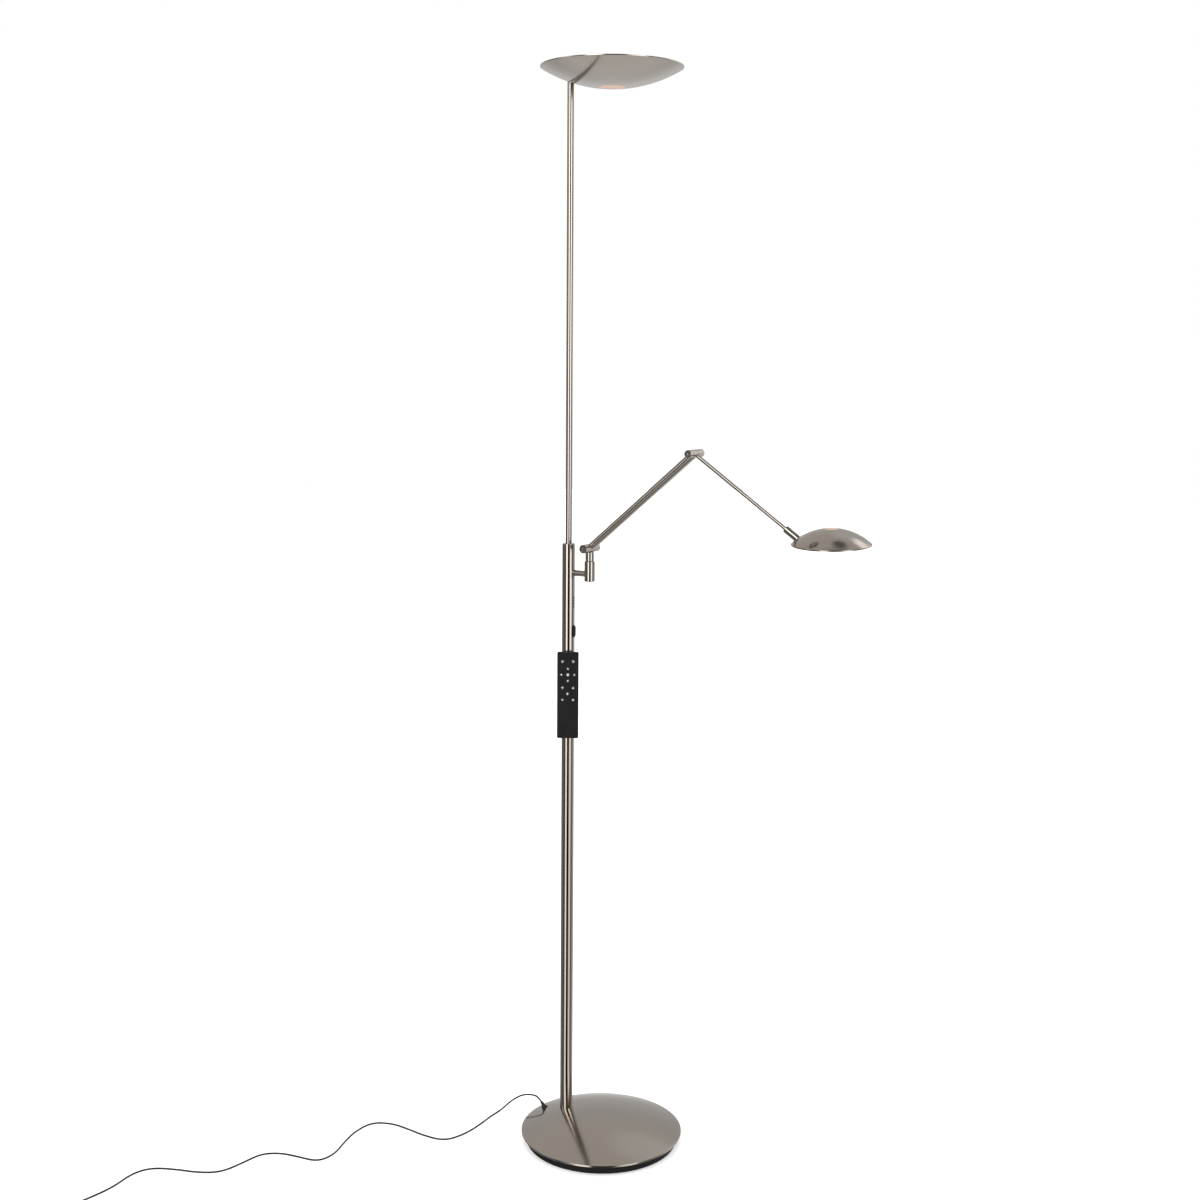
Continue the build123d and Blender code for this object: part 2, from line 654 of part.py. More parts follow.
SLEEVE_DOWN = ROD_PLANE.x_dir.cross(ROD_DIR)
GRUB_PLANE = Plane(UPPER_HINGE + ROD_DIR * GRUB_FROM_HINGE, x_dir=(0, 1, 0), z_dir=SLEEVE_DOWN * -1)
with BuildPart() as head_sleeve:
    with BuildSketch(ROD_PLANE.offset(SLEEVE_START)):
        Circle(SLEEVE_RADIUS)
    extrude(amount=ROD_END + 20 - SLEEVE_START)
    chamfer(head_sleeve.edges().filter_by(GeomType.CIRCLE).sort_by(Axis(UPPER_HINGE, ROD_DIR))[0], length=0.5)
    with Locations(HEAD_BALL_CENTRE):
        Sphere(HEAD_BALL, mode=Mode.SUBTRACT)
    with BuildSketch(ROD_PLANE.offset(SLEEVE_START)):
        Circle(ROD_RADIUS + FIT_GAP)
    extrude(amount=ROD_END + 0.4 - SLEEVE_START, mode=Mode.SUBTRACT)
    with BuildSketch(GRUB_PLANE):
        Circle(GRUB_RADIUS)
    extrude(amount=SLEEVE_RADIUS, mode=Mode.SUBTRACT)
finish(head_sleeve, "head_sleeve")

with BuildPart() as sleeve_screw:
    with BuildSketch(GRUB_PLANE.offset(ROD_RADIUS + FIT_GAP)):
        Circle(GRUB_RADIUS)
    extrude(amount=SLEEVE_RADIUS - ROD_RADIUS - 0.5)
    with BuildSketch(GRUB_PLANE.offset(SLEEVE_RADIUS)):
        RegularPolygon(0.75, 6, major_radius=False)
    extrude(amount=-1.2, mode=Mode.SUBTRACT)
finish(sleeve_screw, "sleeve_screw")

# plates inside the domes: low and high above the rim, outer radius, and a hole's radius
HEAD_SINK = (15.2, 17.8, 29, 6)
HEAD_DIFFUSER = (9, 10.8, 45)
HEAD_BOARD = (28, 5)
HEAD_LEDS = (18, 14)
head_heat_sink = flat_disc(HEAD_PLANE, *HEAD_SINK)
finish(head_heat_sink, "head_heat_sink")
head_led_board = led_board(HEAD_PLANE, HEAD_SINK[0] - BOARD_SHEET, *HEAD_BOARD, *HEAD_LEDS, -1)
finish(head_led_board, "head_led_board")
head_diffuser = flat_disc(HEAD_PLANE, *HEAD_DIFFUSER)
finish(head_diffuser, "head_diffuser")

# ---- dish -----------------------------------------------------------------------------------------------

STUD_RADIUS = UPPER_RADIUS - TUBE_WALL - FIT_GAP
STUD_BORE = 2
STUD_LENGTH = 26
STUD_HEAD = 7.5
STUD_TOP = 1808

DISH_HOLE = DISH_WINDOW + WINDOW_GAP
with BuildPart() as dish_shell:
    add(dome_shell(DISH_PLANE, DISH_RADIUS, DISH_DEPTH, DISH_SHEET, DISH_LIP, DISH_HOLE).part)
    with BuildSketch(Plane.XY.offset(DISH_RIM_Z - DISH_DEPTH)):
        with Locations((POLE_X, 0)):
            Circle(STUD_RADIUS + FIT_GAP)
    extrude(amount=DISH_DEPTH, mode=Mode.SUBTRACT)
finish(dish_shell, "dish_shell")
dish_glow_disc = dome_disc(DISH_PLANE, DISH_RADIUS, DISH_DEPTH, DISH_SHEET, DISH_WINDOW)
finish(dish_glow_disc, "dish_glow_disc")

with BuildPart() as dish_stud:
    with BuildSketch(Plane.XY.offset(STUD_TOP)):
        with Locations((POLE_X, 0)):
            Circle(STUD_HEAD)
    extrude(amount=-12)
    with Locations((DISH_X, 0, DISH_BALL_Z)):
        Sphere(DISH_BALL - DISH_SHEET, mode=Mode.INTERSECT)
    with BuildSketch(Plane.XY.offset(STUD_TOP)):
        with Locations((POLE_X, 0)):
            Circle(STUD_RADIUS)
    extrude(amount=-STUD_LENGTH)
    with BuildSketch(Plane.XY.offset(STUD_TOP)):
        with Locations((POLE_X, 0)):
            Circle(STUD_BORE)
    extrude(amount=-STUD_LENGTH, mode=Mode.SUBTRACT)
finish(dish_stud, "dish_stud")

# heights below the rim, because the dish's plane points down
DISH_SINK = (16, 19, 62, 16)
DISH_DIFFUSER = (8.6, 10.4, 91.5)
DISH_BOARD = (58, 18)
DISH_LEDS = (42, 30)
SINK_LEG = (30, 34)
SINK_LEG_DEPTH = 27.4
with BuildPart() as dish_heat_sink:
    with BuildSketch(DISH_PLANE.offset(DISH_SINK[0])):
        Circle(DISH_SINK[2])
        Circle(DISH_SINK[3], mode=Mode.SUBTRACT)
    extrude(amount=DISH_SINK[1] - DISH_SINK[0])
    with BuildSketch(DISH_PLANE.offset(DISH_SINK[1])):
        Circle(SINK_LEG[1])
        Circle(SINK_LEG[0], mode=Mode.SUBTRACT)
    extrude(amount=SINK_LEG_DEPTH - DISH_SINK[1])
finish(dish_heat_sink, "dish_heat_sink")
dish_led_board = led_board(DISH_PLANE, DISH_SINK[0] - BOARD_SHEET, *DISH_BOARD, *DISH_LEDS, -1)
finish(dish_led_board, "dish_led_board")
dish_diffuser = flat_disc(DISH_PLANE, *DISH_DIFFUSER)
finish(dish_diffuser, "dish_diffuser")

# ---- remote control -------------------------------------------------------------------------------------

REMOTE_CORNER = 2.5
BUTTON_HOLE = BUTTON_RADIUS + 0.2
BUTTON_FLANGE = 3.8
BUTTON_PROUD = 0.6
FLANGE_THICK = 0.7
FACE_UNDERSIDE = REMOTE_SIZE[2] - REMOTE_WALL
DRAWER_WIDTH = 25
DRAWER_LENGTH = 27
DRAWER_LOW = 1.3
DRAWER_HIGH = 5
DRAWER_PLAY = 0.2
DRAWER_Y = -REMOTE_SIZE[1] / 2
CELL_RADIUS = 10
CELL_THICK = 2.5
MAGNET_RADIUS = 5
MAGNET_SPACING = 70


def remote_outline(inset):
    """The remote's outline, moved in by a wall thickness."""
    RectangleRounded(REMOTE_SIZE[0] - 2 * inset, REMOTE_SIZE[1] - 2 * inset, REMOTE_CORNER - inset)


def drawer_outline(grow):
    """The drawer's outline, grown by a clearance on the three sides inside the remote."""
    with Locations((0, DRAWER_Y + (DRAWER_LENGTH + grow) / 2)):
        Rectangle(DRAWER_WIDTH + 2 * grow, DRAWER_LENGTH + grow)


with BuildPart() as remote_back:
    with BuildSketch(REMOTE_PLANE):
        remote_outline(0)
    extrude(amount=REMOTE_SPLIT)
    fillet(remote_back.faces().sort_by(Axis(REMOTE_PLANE.origin, REMOTE_OUT))[0].edges(), radius=0.8)
    with BuildSketch(REMOTE_PLANE.offset(1)):
        remote_outline(REMOTE_WALL)
    extrude(amount=REMOTE_SPLIT, mode=Mode.SUBTRACT)
    with BuildSketch(REMOTE_PLANE.offset(DRAWER_LOW - DRAWER_PLAY)):
        drawer_outline(DRAWER_PLAY)
    extrude(amount=REMOTE_SPLIT, mode=Mode.SUBTRACT)
finish(remote_back, "remote_back")

with BuildPart() as remote_front:
    with BuildSketch(REMOTE_PLANE.offset(REMOTE_SPLIT)):
        remote_outline(0)
    extrude(amount=REMOTE_SIZE[2] - REMOTE_SPLIT)
    fillet(remote_front.faces().sort_by(Axis(REMOTE_PLANE.origin, REMOTE_OUT))[-1].edges(), radius=0.8)
    with BuildSketch(REMOTE_PLANE.offset(REMOTE_SPLIT)):
        remote_outline(REMOTE_WALL)
    extrude(amount=FACE_UNDERSIDE - REMOTE_SPLIT, mode=Mode.SUBTRACT)
    with BuildSketch(REMOTE_PLANE.offset(REMOTE_SPLIT)):
        drawer_outline(DRAWER_PLAY)
    extrude(amount=DRAWER_HIGH + DRAWER_PLAY - REMOTE_SPLIT, mode=Mode.SUBTRACT)
    with BuildSketch(REMOTE_PLANE.offset(FACE_UNDERSIDE)):
        with Locations(*BUTTON_PLACES.values()):
            Circle(BUTTON_HOLE)
    extrude(amount=REMOTE_WALL, mode=Mode.SUBTRACT)
finish(remote_front, "remote_front")

for button_name, place in BUTTON_PLACES.items():
    with BuildPart() as button:
        with BuildSketch(REMOTE_PLANE.offset(FACE_UNDERSIDE - FLANGE_THICK)):
            with Locations(place):
                Circle(BUTTON_FLANGE)
        extrude(amount=FLANGE_THICK)
        with BuildSketch(REMOTE_PLANE.offset(FACE_UNDERSIDE)):
            with Locations(place):
                Circle(BUTTON_RADIUS)
        extrude(amount=REMOTE_WALL + BUTTON_PROUD)
        fillet(button.faces().sort_by(Axis(REMOTE_PLANE.origin, REMOTE_OUT))[-1].edges(), radius=0.35)
    finish(button, button_name)

BOARD_TOP = FACE_UNDERSIDE - FLANGE_THICK - BUTTON_TRAVEL - 0.2
with BuildPart() as remote_board:
    with BuildSketch(REMOTE_PLANE.offset(BOARD_TOP)):
        with Locations((0, 14)):
            Rectangle(30, 112)
    extrude(amount=-1.2)
    with BuildSketch(REMOTE_PLANE.offset(BOARD_TOP - 1.2)):
        with Locations((0, 14)):
            Rectangle(12, 12)
    extrude(amount=-1)
finish(remote_board, "remote_board")

with BuildPart() as remote_magnets:
    with BuildSketch(REMOTE_PLANE.offset(1)):
        with Locations((0, 10)):
            with GridLocations(0, MAGNET_SPACING, 1, 2):
                Circle(MAGNET_RADIUS)
    extrude(amount=1.5)
finish(remote_magnets, "remote_magnets")

with BuildPart() as battery_drawer:
    with BuildSketch(REMOTE_PLANE.offset(DRAWER_LOW)):
        drawer_outline(0)
    extrude(amount=DRAWER_HIGH - DRAWER_LOW)
    with BuildSketch(REMOTE_PLANE.offset(DRAWER_LOW + 0.8)):
        with Locations((0, DRAWER_Y + DRAWER_LENGTH / 2 + 1)):
            Circle(CELL_RADIUS + 0.2)
    extrude(amount=DRAWER_HIGH, mode=Mode.SUBTRACT)
finish(battery_drawer, "battery_drawer")

with BuildPart() as coin_cell:
    with BuildSketch(REMOTE_PLANE.offset(DRAWER_LOW + 0.8)):
        with Locations((0, DRAWER_Y + DRAWER_LENGTH / 2 + 1)):
            Circle(CELL_RADIUS)
    extrude(amount=CELL_THICK)
finish(coin_cell, "coin_cell")

# ---- cord and adapter -----------------------------------------------------------------------------------

with BuildPart() as cord_relief:
    with BuildSketch(RELIEF_SEAT):
        Circle(5.5)
    extrude(amount=1.8)
    fillet(cord_relief.faces().sort_by(Axis((0, 0, 0), RELIEF_NORMAL))[-1].edges(), radius=1)
    with BuildSketch(RELIEF_SEAT):
        Circle(RELIEF_HOLE - FIT_GAP)
    extrude(amount=-4)
    with BuildSketch(Plane(RELIEF_TIP, x_dir=(0, 1, 0), z_dir=RELIEF_DIR * -1)):
        Circle(CORD_RADIUS + 0.7)
    extrude(amount=RELIEF_LENGTH, taper=-8)
finish(cord_relief, "cord_relief")

OUTLET_Z = 6
OUTLET_LENGTH = 6
ADAPTER_PLANE = Plane(
    (ADAPTER_CENTRE[0], ADAPTER_CENTRE[1], 0),
    x_dir=(cos(radians(ADAPTER_TURN)), sin(radians(ADAPTER_TURN)), 0),
    z_dir=(0, 0, 1),
)
ADAPTER_END = Plane(
    ADAPTER_PLANE.from_local_coords(Vector(-ADAPTER_SIZE[0] / 2, 0, OUTLET_Z)),
    x_dir=ADAPTER_PLANE.y_dir,
    z_dir=ADAPTER_PLANE.x_dir * -1,
)
PIN_FACE = Plane(
    ADAPTER_PLANE.from_local_coords(Vector(6, -ADAPTER_SIZE[1] / 2, ADAPTER_SIZE[2] / 2)),
    x_dir=ADAPTER_PLANE.x_dir,
    z_dir=ADAPTER_PLANE.y_dir * -1,
)

FLOOR_Z = CORD_RADIUS
CORD_ROUTE = [
    tuple(RELIEF_TIP),
    tuple(RELIEF_TIP + RELIEF_DIR * 10.5),
    (-149, 0, 43),
    (-170, 0, 38),
    (-192, -2, 23),
    (-211, -14, FLOOR_Z),
    (-212, -40, FLOOR_Z),
    (-208, -73, FLOOR_Z),
    (-207, -122, FLOOR_Z),
    (-221, -164, FLOOR_Z),
    (-266, -168, FLOOR_Z),
    (-302, -165, FLOOR_Z),
    (-338, -164, FLOOR_Z),
    (-372, -181, FLOOR_Z),
    (-374, -224, FLOOR_Z),
    (-363, -264, FLOOR_Z),
    (-346, -309, FLOOR_Z),
    (-352, -344, FLOOR_Z),
    (-391, -350, FLOOR_Z),
    (-425, -357, FLOOR_Z),
    (-451, -378, FLOOR_Z),
    (-454, -418, FLOOR_Z),
    (-460, -462, FLOOR_Z),
    (-490, -485, FLOOR_Z),
    (-531, -499, FLOOR_Z),
    (-568, -518, FLOOR_Z),
    (-580, -550, FLOOR_Z),
    (-570, -598, FLOOR_Z),
    (-573, -638, FLOOR_Z),
    (-578, -673, FLOOR_Z),
    (-574, -706, FLOOR_Z),
    (-564, -728, FLOOR_Z),
]
# the tail runs along the adapter's length, from the coil to the adapter's outlet
TAIL_ROUTE = [
    (-70, 0.2, 4.4),
    (-62, 0.6, 2.4),
    (-54.5, 0.4, 2.6),
    (-47, 0, OUTLET_Z),
    (-ADAPTER_SIZE[0] / 2 - OUTLET_LENGTH, 0, OUTLET_Z),
]


def corner_radii(points):
    """The largest even bend that each corner's two runs leave room for."""
    radii = []
    for before, corner, after in zip(points, points[1:], points[2:]):
        into = Vector(corner) - Vector(before)
        out = Vector(after) - Vector(corner)
        half_turn = radians(into.get_angle(out) / 2)
        radii.append(0.45 * min(into.length, out.length) / tan(half_turn))
    return radii


def cord_tube(points):
    """A round tube of straight runs joined by tangent arcs."""
    with BuildPart() as tube:
        with BuildLine() as path:
            FilletPolyline(*points, radius=corner_radii(points))
        with BuildSketch(Plane(path.line @ 0, z_dir=path.line % 0)):
            Circle(CORD_RADIUS)
        sweep(path=path.line)
    return tube


cord_run = cord_tube(CORD_ROUTE)
finish(cord_run, "cord_run")
cord_tail = cord_tube([tuple(ADAPTER_PLANE.from_local_coords(Vector(point))) for point in TAIL_ROUTE])
finish(cord_tail, "cord_tail")

with BuildPart() as cord_coil:
    with BuildSketch(Plane((COIL_CENTRE[0], COIL_CENTRE[1], 0), x_dir=(1, 0, 0), z_dir=(0, -1, 0))):
        with Locations((COIL_RADIUS, COIL_HEIGHT / 2)):
            RectangleRounded(COIL_WIDTH, COIL_HEIGHT, 1.4)
    revolve(axis=Axis((COIL_CENTRE[0], COIL_CENTRE[1], 0), (0, 0, 1)))
finish(cord_coil, "cord_coil")

TIE_WALL = 0.6
TIE_PLANE = Plane((COIL_CENTRE[0] + COIL_RADIUS, COIL_CENTRE[1], 0), x_dir=(1, 0, 0), z_dir=(0, -1, 0))
with BuildPart() as cord_tie:
    with BuildSketch(TIE_PLANE):
        with Locations((0, COIL_HEIGHT / 2)):
            RectangleRounded(COIL_WIDTH + 2 * TIE_WALL, COIL_HEIGHT, 1.4)
            RectangleRounded(COIL_WIDTH, COIL_HEIGHT - 2 * TIE_WALL, 1.2, mode=Mode.SUBTRACT)
    extrude(amount=3.5, both=True)
finish(cord_tie, "cord_tie")

with BuildPart() as adapter_body:
    with BuildSketch(ADAPTER_PLANE):
        RectangleRounded(ADAPTER_SIZE[0], ADAPTER_SIZE[1], 5)
    extrude(amount=ADAPTER_SIZE[2])
    fillet(adapter_body.edges().group_by(Axis.Z)[-1], radius=3)
    chamfer(adapter_body.edges().group_by(Axis.Z)[0], length=0.8)
    with BuildSketch(ADAPTER_END):
        Circle(3.2)
    extrude(amount=OUTLET_LENGTH, taper=12)
finish(adapter_body, "adapter_body")

with BuildPart() as adapter_pins:
    with BuildSketch(PIN_FACE):
        with GridLocations(PIN_SPACING, 0, 2, 1):
            Circle(PIN_RADIUS)
    extrude(amount=PIN_LENGTH)
    pin_ends = adapter_pins.edges().filter_by(GeomType.CIRCLE)
    fillet(pin_ends.sort_by(Axis(PIN_FACE.origin, PIN_FACE.z_dir))[-2:], radius=1)
finish(adapter_pins, "adapter_pins")
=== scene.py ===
"""Looks for the torchiere floor lamp: camera, cord, materials, printed symbols, floor and light.

Metres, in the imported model's own frame: +Z is up, +X is the way the reading arm reaches, and the origin
is on the floor under the centre of the base. The cord's thickness and route, its coil and the adapter's
place are in millimetres.
"""
import json
from math import cos, pi, radians, sin

import bmesh
import bpy
from mathutils import Matrix, Vector


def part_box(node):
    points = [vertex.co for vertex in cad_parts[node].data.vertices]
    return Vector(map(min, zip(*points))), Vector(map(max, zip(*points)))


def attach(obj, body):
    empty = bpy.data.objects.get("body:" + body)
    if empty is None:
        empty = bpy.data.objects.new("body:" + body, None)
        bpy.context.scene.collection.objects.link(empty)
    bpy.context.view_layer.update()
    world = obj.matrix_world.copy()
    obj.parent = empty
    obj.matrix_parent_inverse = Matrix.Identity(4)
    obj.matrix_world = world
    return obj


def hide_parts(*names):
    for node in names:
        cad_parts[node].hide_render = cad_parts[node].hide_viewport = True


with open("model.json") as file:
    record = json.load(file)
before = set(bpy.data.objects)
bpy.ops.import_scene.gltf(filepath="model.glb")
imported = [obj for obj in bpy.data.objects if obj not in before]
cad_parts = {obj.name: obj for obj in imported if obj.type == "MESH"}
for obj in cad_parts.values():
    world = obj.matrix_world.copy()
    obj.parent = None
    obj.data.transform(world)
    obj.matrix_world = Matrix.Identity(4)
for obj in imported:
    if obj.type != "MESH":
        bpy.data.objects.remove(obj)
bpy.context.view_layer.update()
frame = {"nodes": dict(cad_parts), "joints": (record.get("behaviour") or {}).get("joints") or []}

MM = 0.001


def add_object(name, data):
    """A new object in the scene, which shows a mesh, a curve, a light or a camera."""
    made = bpy.data.objects.new(name, data)
    bpy.context.scene.collection.objects.link(made)
    return made


def between(first, last, share):
    return first + (last - first) * share


def eased(share):
    """Rises smoothly from 0 to 1 as a share does, and is level before and after."""
    share = min(max(share, 0), 1)
    return share * share * (3 - 2 * share)


# ---- camera ---------------------------------------------------------------------------------------------

CAMERA_PLACE = Vector((1.511, -2.307, 1.3705))
CAMERA_HEADING = radians(33.41)
CAMERA_DROP = radians(8.485)
CAMERA_ROLL = radians(0.424)
CAMERA_LENS = 49.92
CAMERA_SENSOR = 36
CAMERA_REACH = 100


def make_camera():
    """A normal lens at standing chest height, looking slightly down at the lamp."""
    camera = add_object("camera", bpy.data.cameras.new("camera"))
    camera.data.sensor_width = CAMERA_SENSOR
    camera.data.lens = CAMERA_LENS
    camera.data.clip_end = CAMERA_REACH
    camera.data.dof.use_dof = False
    camera.matrix_world = (
        Matrix.Translation(CAMERA_PLACE)
        @ Matrix.Rotation(CAMERA_HEADING, 4, "Z")
        @ Matrix.Rotation(pi / 2 - CAMERA_DROP, 4, "X")
        @ Matrix.Rotation(CAMERA_ROLL, 4, "Z")
    )
    bpy.context.scene.camera = camera


make_camera()

# ---- cord -----------------------------------------------------------------------------------------------

CORD_DIAMETER = 3.0
FLOOR_Z = CORD_DIAMETER / 2
RELIEF_TIP = (-129.502, 0, 34.968)
CORD_ROUTE = [
    RELIEF_TIP,
    (-136.66, 0, 42.65),
    (-149, 0, 43),
    (-170, 0, 38),
    (-192, -2, 23),
    (-211, -14, FLOOR_Z),
    (-212, -40, FLOOR_Z),
    (-208, -73, FLOOR_Z),
    (-207, -122, FLOOR_Z),
    (-221, -164, FLOOR_Z),
    (-266, -168, FLOOR_Z),
    (-302, -165, FLOOR_Z),
    (-338, -164, FLOOR_Z),
    (-372, -181, FLOOR_Z),
    (-374, -224, FLOOR_Z),
    (-363, -264, FLOOR_Z),
    (-346, -309, FLOOR_Z),
    (-352, -344, FLOOR_Z),
    (-391, -350, FLOOR_Z),
    (-425, -357, FLOOR_Z),
    (-451, -378, FLOOR_Z),
    (-454, -418, FLOOR_Z),
    (-460, -462, FLOOR_Z),
    (-490, -485, FLOOR_Z),
    (-531, -499, FLOOR_Z),
    (-568, -518, FLOOR_Z),
    (-580, -550, FLOOR_Z),
    (-570, -598, FLOOR_Z),
    (-573, -638, FLOOR_Z),
    (-578, -673, FLOOR_Z),
    (-574, -706, FLOOR_Z),
]
COIL_CENTRE = (-543, -728)
# radii where the cord starts to wind in, where it is tightest, and where it leaves
COIL_OUTER = 20.7
COIL_INNER = 13.3
COIL_LEAVES = 19.7
COIL_POINTS_PER_TURN = 16
COIL_START = 180
COIL_LOWER_TURNS = 2.3
COIL_UPPER_TURNS = 2.0425
# the part of a turn over which the cord climbs on top of itself
COIL_CLIMB = 0.5
# how far the cord rises over the tie, and how short that rise is
TIE_LIFT = 0.6
TIE_SHARPNESS = 4
ADAPTER_CENTRE = Vector((-467, -702, 0))
ADAPTER_TURN = radians(33)
TAIL_ROUTE = [(-70, 0.2, 4.4), (-62, 0.6, 2.4), (-54.5, 0.4, 2.6), (-47, 0, 6), (-39, 0, 6)]


def coil_points():
    """Turns wound inwards on the floor, then outwards on top of those, held by a tie at angle 0."""
    turns = COIL_LOWER_TURNS + COIL_UPPER_TURNS
    steps = round(turns * COIL_POINTS_PER_TURN)
    # the spline runs inside its points, so they stand a little further out
    grow = 1 / cos(pi / COIL_POINTS_PER_TURN)
    points = []
    for step in range(steps + 1):
        turn = turns * step / steps
        angle = radians(COIL_START) + 2 * pi * turn
        past = turn - COIL_LOWER_TURNS
        if past < 0:
            radius = grow * between(COIL_OUTER, COIL_INNER, turn / COIL_LOWER_TURNS)
        else:
            radius = grow * between(COIL_INNER, COIL_LEAVES, past / COIL_UPPER_TURNS)
        height = FLOOR_Z + CORD_DIAMETER * eased(past / COIL_CLIMB + 0.5)
        height += TIE_LIFT * max(cos(angle), 0) ** TIE_SHARPNESS
        points.append((COIL_CENTRE[0] + radius * cos(angle), COIL_CENTRE[1] + radius * sin(angle), height))
    return points


def adapter_point(place):
    """A point given along, across and above the adapter, in the lamp's frame."""
    return ADAPTER_CENTRE + Matrix.Rotation(ADAPTER_TURN, 3, "Z") @ Vector(place)


def make_cord():
    """The whole cord as one smooth spline: the free run, the put-away coil and the tail to the adapter."""
    points = CORD_ROUTE + coil_points() + [tuple(adapter_point(place)) for place in TAIL_ROUTE]
    curve = bpy.data.curves.new("cord", "CURVE")
    curve.dimensions = "3D"
    # a depth of 1 m, which the radius at each point scales down to the cord's own
    curve.bevel_depth = 1
    curve.bevel_resolution = 5
    curve.use_fill_caps = True
    spline = curve.splines.new("NURBS")
    spline.points.add(len(points) - 1)
    for control, point in zip(spline.points, points):
        control.co = (*(Vector(point) * MM), 1)
        control.radius = CORD_DIAMETER / 2 * MM
    spline.order_u = 3
    spline.use_endpoint_u = True
    spline.resolution_u = 8
    cord = add_object("cord", curve)
    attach(cord, "stand")
    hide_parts("cord_run", "cord_coil", "cord_tail")
    return cord


cord = make_cord()

# ---- materials --------------------------------------------------------------------------------------------

# a noise mostly lies between these two
NOISE_LOW = 0.3
NOISE_HIGH = 0.7
NOISE_ROUGHNESS = 0.55


class Nodes:
    """A node tree and short ways to add to it. A source is either a node's output or a plain value."""

    def __init__(self, tree):
        self.tree = tree

    def node(self, kind, **settings):
        made = self.tree.nodes.new(kind)
        for key, value in settings.items():
            setattr(made, key, value)
        return made

    def feed(self, socket, source):
        """Links a node's output to a socket, or sets the socket to a plain value."""
        if isinstance(source, bpy.types.NodeSocket):
            self.tree.links.new(source, socket)
        else:
            socket.default_value = source

    def math(self, operation, *sources):
        made = self.node("ShaderNodeMath", operation=operation)
        for socket, source in zip(made.inputs, sources):
            self.feed(socket, source)
        return made.outputs["Value"]

    def vector_math(self, operation, *sources):
        made = self.node("ShaderNodeVectorMath", operation=operation)
        for socket, source in zip(made.inputs, sources):
            self.feed(socket, source)
        return made.outputs["Value" if operation in ("DOT_PRODUCT", "LENGTH") else "Vector"]

    def times(self, vector, factor):
        made = self.node("ShaderNodeVectorMath", operation="SCALE")
        self.feed(made.inputs["Vector"], vector)
        self.feed(made.inputs["Scale"], factor)
        return made.outputs["Vector"]

    def blend(self, first, second, share):
        """A mix of two numbers, with this share of the second one."""
        return self.math("ADD", self.math("MULTIPLY", first, 1 - share), self.math("MULTIPLY", second, share))

    def remap(self, value, low, high, to_low=0.0, to_high=1.0, interpolation="LINEAR"):
        """Takes a number from one range of values to another."""
        made = self.node("ShaderNodeMapRange", interpolation_type=interpolation)
        names = ("Value", "From Min", "From Max", "To Min", "To Max")
        for name, source in zip(names, (value, low, high, to_low, to_high)):
            self.feed(made.inputs[name], source)
        return made.outputs["Result"]


class Surface(Nodes):
    """A material with its principled shader."""

    def __init__(self, name, color, roughness, metallic=0.0):
        self.material = bpy.data.materials.new(name)
        self.material.use_nodes = True
        super().__init__(self.material.node_tree)
        self.shader = self.tree.nodes["Principled BSDF"]
        self.put("Base Color", (*color, 1))
        self.put("Roughness", roughness)
        self.put("Metallic", metallic)
        self.place = self.node("ShaderNodeTexCoord").outputs["Object"]

    def put(self, name, source):
        """Sets or feeds one of the shader's inputs."""
        self.feed(self.shader.inputs[name], source)

    def noise(self, vector, scale, detail=3.0):
        made = self.node("ShaderNodeTexNoise")
        self.feed(made.inputs["Vector"], vector)
        self.feed(made.inputs["Scale"], scale)
        self.feed(made.inputs["Detail"], detail)
        self.feed(made.inputs["Roughness"], NOISE_ROUGHNESS)
        return made.outputs["Fac"]

    def tint(self, noise, dark, light):
        """Base colour from a dark one to a light one, along a noise."""
        ramp = self.node("ShaderNodeValToRGB")
        stops = zip(ramp.color_ramp.elements, (NOISE_LOW, NOISE_HIGH), (dark, light))
        for stop, position, color in stops:
            stop.position = position
            stop.color = (*color, 1)
        self.feed(ramp.inputs["Fac"], noise)
        self.put("Base Color", ramp.outputs["Color"])

    def roughen(self, noise, low, high):
        self.put("Roughness", self.remap(noise, NOISE_LOW, NOISE_HIGH, low, high))

    def bump(self, height, strength, distance):
        made = self.node("ShaderNodeBump")
        self.feed(made.inputs["Strength"], strength)
        self.feed(made.inputs["Distance"], distance)
        self.feed(made.inputs["Height"], height)
        self.put("Normal", made.outputs["Normal"])

    def shine(self, color, strength):
        """Light of its own."""
        self.put("Emission Color", (*color, 1))
        self.put("Emission Strength", strength)


def scaled(color, factor):
    return tuple(channel * factor for channel in color)


NICKEL = (0.40, 0.362, 0.325)
# roughness from and to, how stretched the highlights are, light and dark of the grain, and how deep it looks
DOME_LOOK = {"rough": (0.105, 0.15), "stretch": 0.5, "fleck": 0.04, "relief": 0.03}
TUBE_LOOK = {"rough": (0.15, 0.175), "stretch": 0.7, "fleck": 0.015, "relief": 0.003}
ACROSS_GRAIN = 0.25
# grains and clouds per metre
FINE_RINGS = 1900
WIDE_RINGS = 380
METAL_CLOUDS = 14
PLASTIC_CLOUDS = 60
RING_DRIFT = 0.012
CLOUD_SHARE = 0.3
FROST_GRAIN = 1500
FROST_CLOUDS = 90
# how deep each grain is, and how strongly it tilts the light
RING_DEPTH = 0.04 * MM
MOTTLE_DEPTH = 0.05 * MM
MOTTLE_RELIEF = 0.15
PLASTIC_RELIEF = 0.35
FROST_DEPTH = 0.01 * MM
FROST_RELIEF = 0.01


